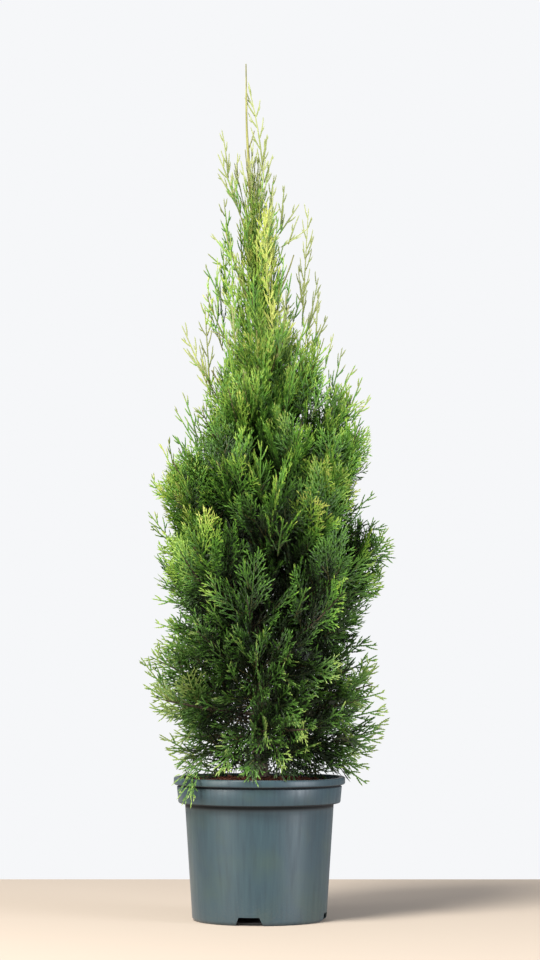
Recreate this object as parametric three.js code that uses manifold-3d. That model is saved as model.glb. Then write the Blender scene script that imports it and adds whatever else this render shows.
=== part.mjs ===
// A young white cedar, clipped by nature to a narrow cone, standing in its round plastic nursery pot.
// Millimetres, +Z up. The origin is the centre of the pot's flat underside and the front faces -Y.
// Azimuths are in degrees from +X, the plant's right-hand side, turning towards +Y, its back.
import * as THREE from "three";
import { mergeVertices } from "three/addons/utils/BufferGeometryUtils.js";
import Module from "manifold-3d";

// ---- Driving dimensions -------------------------------------------------------------------

const GAP = 0.3; // clearance between neighbouring solids

const POT = {
  height: 215,
  lipRadius: 130,
  lipHeight: 10.5,
  lipRound: 1.5,
  bandTopRadius: 125,
  bandFootRadius: 122.7,
  bandHeight: 29,
  bodyTopRadius: 112.5,
  bodyFootRadius: 101.5,
  footRound: 6,
  wall: 2,
  floor: 3,
  sides: 32,
};

const DRAIN = { count: 4, turn: -98.6, topWidth: 31, footWidth: 41.5, height: 12.4, inset: 14 };

const MIX = { edgeLevel: 204.5, crownLevel: 213, crownRadius: 34 };

const TRUNK = { baseRadius: 11, tipRadius: 1.1, flare: 7, flareHeight: 16, steps: 20, sides: 8 };

// The trunk's centre line: height above the floor, drift to the right, drift to the back.
const TRUNK_LINE = [
  [190, 0, 0],
  [420, -2, 3],
  [740, 4, 5],
  [985, -4, 2],
  [1105, -14, 0],
  [1211, -20, 0],
  [1304, -21, 0],
];

// The crown's outline: height above the floor, reach from the trunk to the left, reach to the right.
const CROWN = [
  [222, 118, 160],
  [300, 160, 196],
  [385, 178, 180],
  [450, 152, 170],
  [560, 165, 205],
  [650, 168, 166],
  [720, 154, 174],
  [800, 118, 162],
  [905, 114, 106],
  [985, 77, 88],
  [1092, 46, 86],
  [1165, 46, 32],
  [1205, 38, 27],
  [1262, 9, 15],
  [1292, 5, 6],
];

// Each mass of foliage grows on one limb. Limbs wind up the trunk by the golden angle, and stand
// closer together low down, where the crown is wide.
const LIMBS = {
  count: 30,
  boughs: 24,
  lowTip: 242,
  highTip: 1256,
  crowding: 0.54,
  goldenAngle: 137.508,
  firstAzimuth: 20,
  azimuthJitter: 9,
  lowestRoot: 222,
  droop: 26,
  boughEnd: 0.3,
  stemEnd: 0.56,
  thickness: 0.42,
  tipRadius: 1.7,
};

// Rise of a limb above level, from drooping at the foot of the crown to nearly upright at its top.
const RISE = { lowest: -8, gain: 90, from: 230, scale: 500 };

// A spray: a flat toothed blade that runs to the edge of its mass's space, or as far as it is let.
const SPRAY = {
  thickness: 1.6,
  rootDepth: 0.6,
  rootClear: 6,
  rootWidth: 1.6,
  ribFoot: 2.4,
  ribTip: 1.2,
  footShare: 0.14,
  longest: 135,
  shortest: 26,
  slimness: 0.95,
  widest: 108,
  toothPitch: 29,
  fewestTeeth: 2,
  mostTeeth: 4,
  narrowest: 0.4,
  aims: 14,
  margin: 3,
};

// Sprays along a limb's stem: place along the limb, divergence from it and roll about it. Roll 0 is
// upwards and 90 sideways. The first one ends the limb.
const SPRAY_PLAN = [
  { at: 0.53, divergence: 0, roll: 0 },
  { at: 0.34, divergence: 72, roll: 0 },
  { at: 0.39, divergence: 54, roll: 90 },
  { at: 0.43, divergence: 54, roll: -90 },
  { at: 0.36, divergence: 66, roll: 180 },
  { at: 0.48, divergence: 46, roll: 0 },
];

const COLOURS = { pot: 0x4f6469, mix: 0x3a2117, bark: 0x5d4636, foliage: 0x4c7a26 };

// ---- Solids -------------------------------------------------------------------------------

const wasm = await Module();
wasm.setup();

const UP = new THREE.Vector3(0, 0, 1);

function solidOf(geometry) {
  const bare = geometry.index ? geometry.toNonIndexed() : geometry.clone();
  bare.deleteAttribute("normal");
  bare.deleteAttribute("uv");
  const merged = mergeVertices(bare, 1e-4);
  return new wasm.Manifold(
    new wasm.Mesh({
      numProp: 3,
      vertProperties: merged.attributes.position.array,
      triVerts: new Uint32Array(merged.index.array),
    }),
  );
}

function geometryOf(solid) {
  const { numVert, numProp, vertProperties, triVerts } = solid.getMesh();
  const positions = new Float32Array(numVert * 3);
  for (let i = 0; i < numVert; i++) {
    positions.set(vertProperties.subarray(i * numProp, i * numProp + 3), i * 3);
  }
  const geometry = new THREE.BufferGeometry();
  geometry.setAttribute("position", new THREE.BufferAttribute(positions, 3));
  geometry.setIndex(new THREE.BufferAttribute(triVerts, 1));
  return geometry;
}

function turned(profile, sides) {
  const points = profile.map(([radius, height]) => new THREE.Vector2(radius, height));
  return solidOf(new THREE.LatheGeometry(points, sides).rotateX(Math.PI / 2));
}

// A tapering limb: a turned stick whose length is carried along part of a curve. `across` is a
// direction that stays clear of the curve's own and fixes how the section is turned.
function limb({ curve, from, to, across, radiusAt, steps, sides, spacing = 1 }) {
  const stations = Array.from({ length: steps + 1 }, (_, i) => (i / steps) ** spacing);
  const profile = [
    new THREE.Vector2(0, 0),
    ...stations.map((share, i) => new THREE.Vector2(radiusAt(share), i)),
    new THREE.Vector2(0, steps),
  ];
  const stick = new THREE.LatheGeometry(profile, sides);
  const position = stick.getAttribute("position");
  for (let i = 0; i < position.count; i++) {
    const share = stations[Math.round(position.getY(i))];
    const place = from + (to - from) * share;
    const along = curve.getTangentAt(place);
    const side = across.clone().addScaledVector(along, -across.dot(along)).normalize();
    const over = new THREE.Vector3().crossVectors(side, along);
    const point = curve.getPointAt(place);
    point.addScaledVector(side, position.getX(i)).addScaledVector(over, position.getZ(i));
    position.setXYZ(i, point.x, point.y, point.z);
  }
  return solidOf(stick);
}

function overlaps(a, b) {
  return a.intersect(b).volume() > 0;
}

// ---- Chance, lines and outlines -----------------------------------------------------------

// A seeded stream of even chances, the same in every language with 32-bit whole numbers.
function chances(seed) {
  let state = seed >>> 0;
  return (low = 0, high = 1) => {
    state = (state + 0x6d2b79f5) >>> 0;
    let mixed = Math.imul(state ^ (state >>> 15), state | 1);
    mixed ^= mixed + Math.imul(mixed ^ (mixed >>> 7), mixed | 61);
    return low + (high - low) * (((mixed ^ (mixed >>> 14)) >>> 0) / 4294967296);
  };
}

// Values between the rows of a table whose first column is the height.
function between(table, height, column) {
  const last = table.length - 1;
  if (height <= table[0][0]) return table[0][column];
  if (height >= table[last][0]) return table[last][column];
  const i = table.findIndex((row) => row[0] > height);
  const share = (height - table[i - 1][0]) / (table[i][0] - table[i - 1][0]);
  return THREE.MathUtils.lerp(table[i - 1][column], table[i][column], share);
}

const trunkCurve = new THREE.CatmullRomCurve3(
  TRUNK_LINE.map(([height, right, back]) => new THREE.Vector3(right, back, height)),
);

function trunkCentre(height) {
  return new THREE.Vector3(between(TRUNK_LINE, height, 1), between(TRUNK_LINE, height, 2), height);
}

function outward(azimuth) {
  const angle = THREE.MathUtils.degToRad(azimuth);
  return new THREE.Vector3(Math.cos(angle), Math.sin(angle), 0);
}

function crownReach(height, azimuth) {
  const rightness = 0.5 + 0.5 * Math.cos(THREE.MathUtils.degToRad(azimuth));
  return THREE.MathUtils.lerp(between(CROWN, height, 1), between(CROWN, height, 2), rightness);
}

function limbRise(tipHeight) {
  return RISE.lowest + RISE.gain * (1 - Math.exp(-(tipHeight - RISE.from) / RISE.scale));
}

// Where each limb leaves the trunk, how it bends upwards, and where its tip stands in the crown.
function limbPlan(index) {
  const chance = chances(1000 + index);
  const share = (index + 0.5) / LIMBS.count;
  const climb = LIMBS.crowding * share + (1 - LIMBS.crowding) * share ** 2;
  const tipHeight = THREE.MathUtils.lerp(LIMBS.lowTip, LIMBS.highTip, climb);
  const azimuth =
    LIMBS.firstAzimuth +
    index * LIMBS.goldenAngle +
    chance(-LIMBS.azimuthJitter, LIMBS.azimuthJitter);
  const reach = crownReach(tipHeight, azimuth);
  const drop = reach * Math.tan(THREE.MathUtils.degToRad(limbRise(tipHeight)));
  const rootHeight = Math.max(LIMBS.lowestRoot, tipHeight - drop);
  const out = outward(azimuth);
  const root = trunkCentre(rootHeight);
  const tip = trunkCentre(tipHeight).addScaledVector(out, reach);
  const elbow = trunkCentre(rootHeight + 0.36 * (tipHeight - rootHeight));
  elbow.addScaledVector(out, 0.64 * reach);
  return {
    index,
    azimuth,
    out,
    across: new THREE.Vector3().crossVectors(UP, out),
    chance,
    curve: new THREE.QuadraticBezierCurve3(root, elbow, tip),
    hasBough: index < LIMBS.boughs,
  };
}

// ---- Pot and potting mix ------------------------------------------------------------------

const bandFoot = POT.height - POT.lipHeight - POT.bandHeight;
const lipFoot = POT.height - POT.lipHeight;

function roundedFoot(radius, round, steps) {
  return Array.from({ length: steps + 1 }, (_, i) => {
    const angle = (i / steps) * (Math.PI / 2);
    return [radius - round + round * Math.sin(angle), round - round * Math.cos(angle)];
  });
}

function drainCutter(index) {
  const { topWidth, footWidth, height, inset, turn, count } = DRAIN;
  const below = 1; // the cutter starts this far under the floor
  const widening = ((footWidth - topWidth) / 2) * (below / height);
  const outline = new THREE.Shape([
    new THREE.Vector2(-footWidth / 2 - widening, -below),
    new THREE.Vector2(footWidth / 2 + widening, -below),
    new THREE.Vector2(topWidth / 2, height),
    new THREE.Vector2(-topWidth / 2, height),
  ]);
  const reach = 2 * inset;
  const cutter = new THREE.ExtrudeGeometry(outline, { depth: reach, bevelEnabled: false });
  const out = outward(turn + (index * 360) / count);
  const across = new THREE.Vector3().crossVectors(UP, out);
  cutter.applyMatrix4(
    new THREE.Matrix4()
      .makeBasis(across, UP, out)
      .setPosition(out.clone().multiplyScalar(POT.bodyFootRadius - inset)),
  );
  return solidOf(cutter);
}

// The pot's inner wall from its mouth down, as radius and height.
const potInside = [
  [POT.bandTopRadius - POT.wall, POT.height],
  [POT.bandTopRadius - POT.wall, lipFoot],
  [POT.bandFootRadius - POT.wall, bandFoot + POT.wall],
  [POT.bodyTopRadius - POT.wall, bandFoot + POT.wall],
  [POT.bodyFootRadius - POT.wall, POT.floor],
];

function potShell() {
  const { floor, lipRound } = POT;
  const outside = [
    [0, 0],
    ...roundedFoot(POT.bodyFootRadius, POT.footRound, 3),
    [POT.bodyTopRadius, bandFoot],
    [POT.bandFootRadius, bandFoot],
    [POT.bandTopRadius, lipFoot],
    [POT.lipRadius - lipRound / 2, lipFoot],
    [POT.lipRadius, POT.height - lipRound],
    [POT.lipRadius - lipRound, POT.height],
  ];
  let shell = turned([...outside, ...potInside, [0, floor]], POT.sides);
  for (let i = 0; i < DRAIN.count; i++) {
    shell = shell.subtract(drainCutter(i));
  }
  return shell;
}

function pottingMix() {
  const [, mouth, shelfRim, shelfRoot, foot] = potInside;
  const share = (MIX.edgeLevel - shelfRim[1]) / (mouth[1] - shelfRim[1]);
  const edge = THREE.MathUtils.lerp(shelfRim[0], mouth[0], share) - GAP;
  const profile = [
    [0, foot[1] + GAP],
    [foot[0] - GAP, foot[1] + GAP],
    [shelfRoot[0] - GAP, shelfRoot[1] + GAP],
    [shelfRim[0] - GAP, shelfRim[1] + GAP],
    [edge, MIX.edgeLevel],
    [edge * 0.72, THREE.MathUtils.lerp(MIX.edgeLevel, MIX.crownLevel, 0.62)],
    [MIX.crownRadius, MIX.crownLevel],
    [0, MIX.crownLevel],
  ];
  return turned(profile, POT.sides);
}

// ---- Trunk, boughs and foliage ------------------------------------------------------------

function trunkRadius(share) {
  const rise = share * (TRUNK_LINE.at(-1)[0] - TRUNK_LINE[0][0]) + TRUNK_LINE[0][0];
  const aboveMix = Math.max(0, rise - MIX.crownLevel);
  const flare = TRUNK.flare * Math.exp(-aboveMix / TRUNK.flareHeight);
  return THREE.MathUtils.lerp(TRUNK.baseRadius, TRUNK.tipRadius, share ** 0.85) + flare;
}

function trunkSolid(padding) {
  const whole = limb({
    curve: trunkCurve,
    from: 0,
    to: 1,
    across: new THREE.Vector3(0, 1, 0),
    radiusAt: (share) => trunkRadius(share) + padding,
    steps: TRUNK.steps,
    sides: TRUNK.sides,
    spacing: 1.5,
  });
  const groundLevel = MIX.crownLevel + GAP - padding;
  const below = new THREE.BoxGeometry(200, 200, 100).translate(0, 0, groundLevel - 50);
  return whole.subtract(solidOf(below));
}

function limbRadius(plan, place) {
  const root = plan.curve.getPointAt(0);
  const trunkShare = (root.z - TRUNK_LINE[0][0]) / (TRUNK_LINE.at(-1)[0] - TRUNK_LINE[0][0]);
  const rootRadius = Math.max(1.8, LIMBS.thickness * trunkRadius(trunkShare + 0.04));
  return THREE.MathUtils.lerp(rootRadius, LIMBS.tipRadius, place ** 0.8);
}

function limbPiece(plan, from, to, steps, sides) {
  return limb({
    curve: plan.curve,
    from,
    to,
    across: plan.across,
    radiusAt: (share) => limbRadius(plan, from + (to - from) * share),
    steps,
    sides,
  });
}

// The outline of one spray lying along +X: a rib with pointed teeth that lean forwards, longest
// near the foot, alternating from side to side.
function sprayOutline(length, width, teeth) {
  const { rootDepth, rootWidth, ribFoot, ribTip, footShare } = SPRAY;
  const lean = THREE.MathUtils.degToRad(44);
  const pitch = ((0.94 - footShare) * length) / teeth;
  const rib = (x) => THREE.MathUtils.lerp(ribFoot, ribTip, x / length);
  const side = (sign, offset) =>
    Array.from({ length: teeth }, (_, i) => {
      const x = footShare * length + (i + offset) * pitch;
      const share = (i + offset) / teeth;
      const reach = (width / 2) * Math.min(1.25, 0.9 + 1.4 * share) * (1 - 0.8 * share);
      return [
        new THREE.Vector2(x, sign * rib(x)),
        new THREE.Vector2(x + reach / Math.tan(lean), sign * (rib(x) + reach)),
      ];
    }).flat();
  return new THREE.Shape([
    new THREE.Vector2(-rootDepth, -rootWidth / 2),
    ...side(-1, 0),
    new THREE.Vector2(length, 0),
    ...side(1, 0.4).reverse(),
    new THREE.Vector2(-rootDepth, rootWidth / 2),
  ]);
}

function sprayBlade(spray, padding) {
  const depth = SPRAY.thickness + 2 * padding;
  const outline = sprayOutline(spray.length + padding, spray.width + 2 * padding, spray.teeth);
  const blade = new THREE.ExtrudeGeometry(outline, { depth, bevelEnabled: false });
  blade.translate(0, 0, -depth / 2);
  const side = new THREE.Vector3().crossVectors(spray.normal, spray.along);
  const basis = new THREE.Matrix4().makeBasis(spray.along, side, spray.normal);
  return blade.applyMatrix4(basis.setPosition(spray.root));
}

function insideCrown(point) {
  const centre = trunkCentre(point.z);
  const spread = Math.hypot(point.x - centre.x, point.y - centre.y);
  const azimuth = THREE.MathUtils.radToDeg(Math.atan2(point.y - centre.y, point.x - centre.x));
  const overPot = Math.hypot(point.x, point.y) < POT.lipRadius + 5;
  const lowest = POT.height + (overPot ? SPRAY.margin : -LIMBS.droop);
  return point.z > lowest && spread < crownReach(point.z, azimuth) + SPRAY.margin;
}

// A mass keeps to the part of the crown that lies nearer to its own limb than to any other.
function ownSpace(plan, point) {
  if (!insideCrown(point)) return false;
  const nearest = (marks) => Math.min(...marks.map((mark) => mark.distanceToSquared(point)));
  const own = nearest(plan.marks);
  return plan.neighbours.every((other) => nearest(other.marks) > own);
}

// How far a spray can run from its root before it leaves that space.
function roomAlong(plan, root, along) {
  const step = 5;
  const point = root.clone();
  let room = 0;
  while (room < SPRAY.longest && ownSpace(plan, point.addScaledVector(along, step))) {
    room += step;
  }
  return room;
}

// One aim for a spray: its root on the limb's stem, its direction, and the plane that it lies in.
function aimSpray(plan, slot) {
  const { chance, curve, across } = plan;
  const root = curve.getPointAt(slot.at);
  const stemWay = curve.getTangentAt(slot.at);
  const over = new THREE.Vector3().crossVectors(across, stemWay).normalize();
  const divergence = THREE.MathUtils.degToRad(slot.divergence + chance(-16, 16));
  const roll = THREE.MathUtils.degToRad(slot.roll + chance(-40, 40));
  const along = stemWay
    .multiplyScalar(Math.cos(divergence))
    .addScaledVector(over, Math.sin(divergence) * Math.cos(roll))
    .addScaledVector(across, Math.sin(divergence) * Math.sin(roll));
  let length;
  if (slot.divergence === 0) {
    along.subVectors(curve.getPointAt(1), root);
    length = along.length();
    along.normalize();
  } else {
    length = roomAlong(plan, root, along);
  }
  const normal = new THREE.Vector3().crossVectors(UP, along).normalize();
  normal.applyAxisAngle(along, THREE.MathUtils.degToRad(chance(-90, 90)));
  const width = Math.min(SPRAY.slimness * length, SPRAY.widest);
  const teeth = THREE.MathUtils.clamp(
    Math.round(length / SPRAY.toothPitch),
    SPRAY.fewestTeeth,
    SPRAY.mostTeeth,
  );
  return { root, along, normal, length, width, teeth };
}

// The widest blade for one aim that stays in the mass's own space, or null.
function widestBlade(plan, spray) {
  for (let share = 1; share >= SPRAY.narrowest; share -= 0.12) {
    const trial = { ...spray, width: spray.width * share };
    if (bladePoints(sprayBlade(trial, 0)).every((point) => ownSpace(plan, point))) return trial;
  }
  return null;
}

function bladePoints(blade) {
  const position = blade.getAttribute("position");
  return Array.from({ length: position.count }, (_, i) =>
    new THREE.Vector3().fromBufferAttribute(position, i),
  );
}

// ---- Assembly -----------------------------------------------------------------------------

const root = new THREE.Group();

function addNode(name, solid, colour, roughness) {
  const material = new THREE.MeshStandardMaterial({ color: colour, roughness, metalness: 0 });
  const mesh = new THREE.Mesh(geometryOf(solid), material);
  mesh.name = name;
  root.add(mesh);
}

const number = (index) => String(index + 1).padStart(2, "0");

addNode("pot", potShell(), COLOURS.pot, 0.55);
addNode("potting_mix", pottingMix(), COLOURS.mix, 0.95);

const trunk = trunkSolid(0);
const aroundTrunk = trunkSolid(GAP);
addNode("trunk", trunk, COLOURS.bark, 0.85);

const plans = Array.from({ length: LIMBS.count }, (_, index) => limbPlan(index));
for (const plan of plans) {
  const stemStart = plan.hasBough ? LIMBS.boughEnd + GAP / plan.curve.getLength() : 0;
  plan.stem = limbPiece(plan, stemStart, LIMBS.stemEnd, 2, 4).subtract(aroundTrunk);
  if (plan.hasBough) {
    plan.bough = limbPiece(plan, 0, LIMBS.boughEnd, 2, 5).subtract(aroundTrunk);
    addNode(`bough_${number(plan.index)}`, plan.bough, COLOURS.bark, 0.85);
  }
  plan.marks = Array.from({ length: 10 }, (_, i) => plan.curve.getPointAt(0.28 + 0.08 * i));
  plan.sprays = [];
}
for (const plan of plans) {
  const near = (other) => other.marks.some((a) => plan.marks.some((b) => a.distanceTo(b) < 280));
  plan.neighbours = plans.filter((other) => other !== plan && near(other));
}

function clearOfAll(plan, padded) {
  if (overlaps(padded, aroundTrunk) || (plan.bough && overlaps(padded, plan.bough))) return false;
  return plan.neighbours.every(
    (other) =>
      !(other.bough && overlaps(padded, other.bough)) &&
      !overlaps(padded, other.stem) &&
      !other.sprays.some((s) => overlaps(padded, s)),
  );
}

// Sprays of one mass meet only at its stem, so the test blade starts clear of it.
function clearOfOwn(plan, spray) {
  const outer = spray.root.clone().addScaledVector(spray.along, SPRAY.rootClear);
  const test = solidOf(sprayBlade({ ...spray, root: outer, length: spray.length * 0.9 }, 0));
  return !plan.sprays.some((s) => overlaps(test, s));
}

// Each mass takes its sprays in turn, the largest of several aims first, and skips what won't fit.
for (const slot of SPRAY_PLAN) {
  for (const plan of plans) {
    const aims = Array.from({ length: SPRAY.aims }, () => aimSpray(plan, slot))
      .filter((spray) => spray.length > SPRAY.shortest)
      .map((spray) => widestBlade(plan, spray))
      .filter((spray) => spray !== null)
      .sort((a, b) => b.length * b.width - a.length * a.width);
    const spray = aims.find(
      (aim) => clearOfOwn(plan, aim) && clearOfAll(plan, solidOf(sprayBlade(aim, GAP))),
    );
    if (spray) plan.sprays.push(solidOf(sprayBlade(spray, 0)));
  }
}

for (const plan of plans) {
  const mass = plan.sprays.reduce((joined, spray) => joined.add(spray), plan.stem);
  addNode(`foliage_${number(plan.index)}`, mass, COLOURS.foliage, 0.6);
}

console.log("sprays", plans.map((plan) => plan.sprays.length).join(" "));

export default root;
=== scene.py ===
# %% [markdown]
# # A young thuja in its nursery pot
#
# A thuja carries its leaves as tiny scales pressed to flat, fern-like sprays. The sprays stand
# nearly upright on thin limbs, the limbs wind up one slim trunk, and the whole is a narrow cone.
# The pot is a thin moulded one: a wide lip, a band under it, a tapered body and drain notches at
# the foot. This first cell loads the solid model. Everything that follows is in its frame, in
# metres.

# %% Load the frame
import math

import bmesh
import bpy
import numpy as np
from mathutils import Matrix, Vector, noise


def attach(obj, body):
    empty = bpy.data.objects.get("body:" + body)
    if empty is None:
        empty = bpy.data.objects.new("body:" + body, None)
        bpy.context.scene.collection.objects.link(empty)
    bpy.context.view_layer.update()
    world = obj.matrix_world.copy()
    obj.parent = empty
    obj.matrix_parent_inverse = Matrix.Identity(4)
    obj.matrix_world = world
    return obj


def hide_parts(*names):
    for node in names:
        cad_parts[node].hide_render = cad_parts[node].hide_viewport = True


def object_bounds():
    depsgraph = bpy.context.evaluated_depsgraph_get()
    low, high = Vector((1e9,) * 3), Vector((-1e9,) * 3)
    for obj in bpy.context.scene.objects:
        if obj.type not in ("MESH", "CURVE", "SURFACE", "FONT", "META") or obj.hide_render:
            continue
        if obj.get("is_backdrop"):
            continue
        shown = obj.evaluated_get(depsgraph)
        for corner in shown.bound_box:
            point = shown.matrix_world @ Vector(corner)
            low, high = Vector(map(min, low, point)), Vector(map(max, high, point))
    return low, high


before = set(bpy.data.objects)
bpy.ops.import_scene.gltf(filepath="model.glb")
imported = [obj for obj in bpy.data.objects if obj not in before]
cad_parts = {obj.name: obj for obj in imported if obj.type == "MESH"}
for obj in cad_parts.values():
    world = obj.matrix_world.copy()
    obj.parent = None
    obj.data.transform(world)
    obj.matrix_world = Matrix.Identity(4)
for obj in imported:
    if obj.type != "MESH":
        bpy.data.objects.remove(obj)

CAD_BOX = [list(corner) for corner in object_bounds()]
MM = 0.001
print("solid model box:", [[round(v, 3) for v in corner] for corner in CAD_BOX])

# %% [markdown]
# ## Viewpoint
#
# The plant is seen from the front, from 4 m away and at the height of its lower branches. The lens
# is worked out from what the picture has to take in, a strip 1.46 m tall at the plant. It is a long
# one: a wide lens close by would stretch the crown and splay upright lines.

# %% Camera
EYE = Vector((0.016, -4.0, 0.404))
AIM = Vector((0.016, 0.0, 0.664))
PICTURE_HEIGHT = 1.463
SENSOR = 36.0

camera_data = bpy.data.cameras.new("viewpoint")
camera_data.lens = SENSOR * (AIM - EYE).length / PICTURE_HEIGHT
camera = bpy.data.objects.new("viewpoint", camera_data)
camera.location = EYE
camera.rotation_euler = (AIM - EYE).to_track_quat("-Z", "Y").to_euler()
bpy.context.scene.collection.objects.link(camera)
bpy.context.scene.camera = camera
bpy.context.scene.view_settings.view_transform = "Standard"
print("lens", round(camera_data.lens, 1), "mm")

# %% [markdown]
# ## Colours and nodes
#
# Colours are easiest to read as sRGB hex values, as a paint chart gives them, but shader sockets
# take linear light. One function turns one into the other. A second adds a node with its settings
# and links, so that each material below reads as a short list of what it is made of. Its widths and
# depths are written in millimetres.

# %% Colour and node helpers
def linear(hex_colour):
    """An sRGB hex value such as #4f6469 as linear red, green, blue and alpha."""
    channels = [int(hex_colour[i:i + 2], 16) / 255 for i in (1, 3, 5)]
    return (*[c / 12.92 if c <= 0.04045 else ((c + 0.055) / 1.055) ** 2.4 for c in channels], 1.0)


def add(tree, kind, settings=None, inputs=None, stops=()):
    """Add a shader node. Inputs are values, or output sockets of other nodes to link to.

    A colour ramp has stops as well: pairs of a place and a hex colour.
    """
    node = tree.nodes.new("ShaderNode" + kind)
    for name, value in (settings or {}).items():
        setattr(node, name, value)
    for name, value in (inputs or {}).items():
        if isinstance(value, bpy.types.NodeSocket):
            tree.links.new(value, node.inputs[name])
        else:
            node.inputs[name].default_value = value
    for number, (place, colour) in enumerate(stops):
        elements = node.color_ramp.elements
        element = elements[number] if number < 2 else elements.new(place)
        element.position, element.color = place, linear(colour)
    return node


def new_material(name, settings):
    """A material with a Principled shader whose plain values are set on its own sockets."""
    material = bpy.data.materials.new(name)
    material.use_nodes = True
    tree = material.node_tree
    tree.nodes.clear()
    shader = add(tree, "BsdfPrincipled", inputs=settings)
    add(tree, "OutputMaterial", inputs={"Surface": shader.outputs["BSDF"]})
    return material, tree, shader


print("mid grey #808080 is", round(linear("#808080")[0], 3), "in linear light")

# %% [markdown]
# ## Floor and light
#
# A plain pale floor gives the pot something to stand on and a soft contact shadow. The light is
# that of a bright, hazy day. The surround is near-white where it is seen and weaker as a light. The
# key lamp is high up on the left, and two low ones light the pot's sides: a cool fill on the right,
# and on the left the bounce of a pale wall. Wide lamps make soft shadows, which keep the crown's
# inside dark and its outer sprays bright.

# %% Floor, surround and lamps
FLOOR_HALF = 0.7
SURROUND_LIGHT = 0.40
SURROUND = linear("#f6f7f9")
LAMPS_AIM = Vector((0, 0, 0.7))


def new_object(name, mesh):
    piece = bpy.data.objects.new(name, mesh)
    bpy.context.scene.collection.objects.link(piece)
    return piece


def object_of(name, bm):
    """A piece from a bmesh, which is used up."""
    mesh = bpy.data.meshes.new(name)
    bm.to_mesh(mesh)
    bm.free()
    return new_object(name, mesh)


bm = bmesh.new()
bmesh.ops.create_grid(bm, x_segments=2, y_segments=2, size=FLOOR_HALF)
floor = object_of("floor", bm)
floor_material, _, _ = new_material(
    "pale floor paint", {"Base Color": linear("#c4b7aa"), "Roughness": 0.8})
floor.data.materials.append(floor_material)
floor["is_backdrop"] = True

world = bpy.data.worlds.new("bright haze")
bpy.context.scene.world = world
world.use_nodes = True
sky = world.node_tree
sky.nodes.clear()
seen = add(sky, "Background", inputs={"Color": SURROUND, "Strength": 1.0})
cast = add(sky, "Background", inputs={"Color": SURROUND, "Strength": SURROUND_LIGHT})
directly = add(sky, "LightPath").outputs["Is Camera Ray"]
both = add(sky, "MixShader", inputs={0: directly, 1: cast.outputs[0], 2: seen.outputs[0]})
add(sky, "OutputWorld", inputs={"Surface": both.outputs[0]})

# Name, place, width, watts and colour.
LAMPS = [("key", (-1.4, -2.1, 3.7), 1.4, 245, "#fffaf0"),
         ("fill", (2.7, -1.7, 0.6), 1.6, 92, "#f6f8ff"),
         ("bounce", (-2.4, -1.9, 0.9), 1.8, 86, "#fbf8f4")]
for name, place, width, watts, colour in LAMPS:
    light = bpy.data.lights.new(name, "AREA")
    light.shape, light.size, light.energy, light.color = "DISK", width, watts, linear(colour)[:3]
    lamp = new_object(name, light)
    lamp.location = place
    lamp.rotation_euler = (LAMPS_AIM - Vector(place)).to_track_quat("-Z", "Y").to_euler()

# %% [markdown]
# ## The pot
#
# A nursery pot is moulded from thin polypropylene. Its section is one line, up the outside from the
# flat base to the lip and down the inside to the floor, and spinning it round the pot's axis gives
# the whole wall. The sharp rings are then bevelled: a mould has no knife edges, and they catch
# light.

# %% Section of the pot
POT = {
    "height": 215, "lip": 130, "lip_height": 11.3, "groove": 2.4, "groove_height": 3,
    "band_top": 125, "band_foot": 122.7, "band_height": 28.2, "band_round": 2.4, "body_top": 112.5,
    "body_foot": 101.5, "foot_round": 6, "wall": 2, "floor": 3,
}
MOULD_EDGE = {"sharper_than": 28, "width": 0.5}
lip_foot_level = POT["height"] - POT["lip_height"]
band_foot_level = lip_foot_level - POT["band_height"]


def pot_section():
    """Outer wall from the axis up to the lip, then inner wall down to the axis, in millimetres."""
    foot, rounding, wall, floor = (POT[key] for key in ("body_foot", "foot_round", "wall", "floor"))
    body, band, band_top, lip = (POT[key] for key in ("body_top", "band_foot", "band_top", "lip"))
    bend, groove, height = POT["band_round"], POT["groove"], POT["height"]
    groove_foot = lip_foot_level - POT["groove_height"]
    outside = [(0, 0)]
    outside += [(foot - rounding * (1 - math.sin(a)), rounding * (1 - math.cos(a)))
                for a in np.linspace(0, math.pi / 2, 7)]
    outside += [(foot + (body - foot) * share, rounding + (band_foot_level - rounding) * share)
                for share in np.linspace(0, 1, 12)[1:]]
    outside += [
        (band - bend, band_foot_level), (band - 0.3 * bend, band_foot_level + 0.3 * bend),
        (band, band_foot_level + bend), (band_top, groove_foot),
        (band_top - groove, groove_foot + 0.6), (band_top - groove, lip_foot_level),
        (lip - 1.2, lip_foot_level + 0.4), (lip, lip_foot_level + 2.0), (lip, height - 1.6),
        (lip - 0.5, height - 0.5), (lip - 1.6, height)]
    inside = [
        (band_top - wall - 1.6, height), (band_top - wall - 1.6, lip_foot_level),
        (band - wall - 1.2, band_foot_level + wall), (body - wall, band_foot_level + wall),
        (foot - wall, floor), (0, floor)]
    return outside + inside


def spun(profile, steps):
    """A bmesh of a closed section, in millimetres, spun round the upright axis."""
    bm = bmesh.new()
    verts = [bm.verts.new((radius * MM, 0, height * MM)) for radius, height in profile]
    edges = [bm.edges.new(pair) for pair in zip(verts, verts[1:])]
    bmesh.ops.spin(bm, geom=verts + edges, cent=(0, 0, 0), axis=(0, 0, 1), angle=2 * math.pi,
                   steps=steps, use_merge=True)
    bmesh.ops.remove_doubles(bm, verts=bm.verts[:], dist=1e-6)
    bmesh.ops.recalc_face_normals(bm, faces=bm.faces[:])
    return bm


bm = spun(pot_section(), 144)
sharp = math.radians(MOULD_EDGE["sharper_than"])
rings = [e for e in bm.edges if e.is_manifold and e.calc_face_angle(0) > sharp]
bmesh.ops.bevel(bm, geom=rings, offset=MOULD_EDGE["width"] * MM, segments=2, profile=0.5,
                material=-1, affect="EDGES", clamp_overlap=True)
pot = object_of("nursery_pot", bm)
print("pot faces", len(pot.data.polygons))

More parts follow.
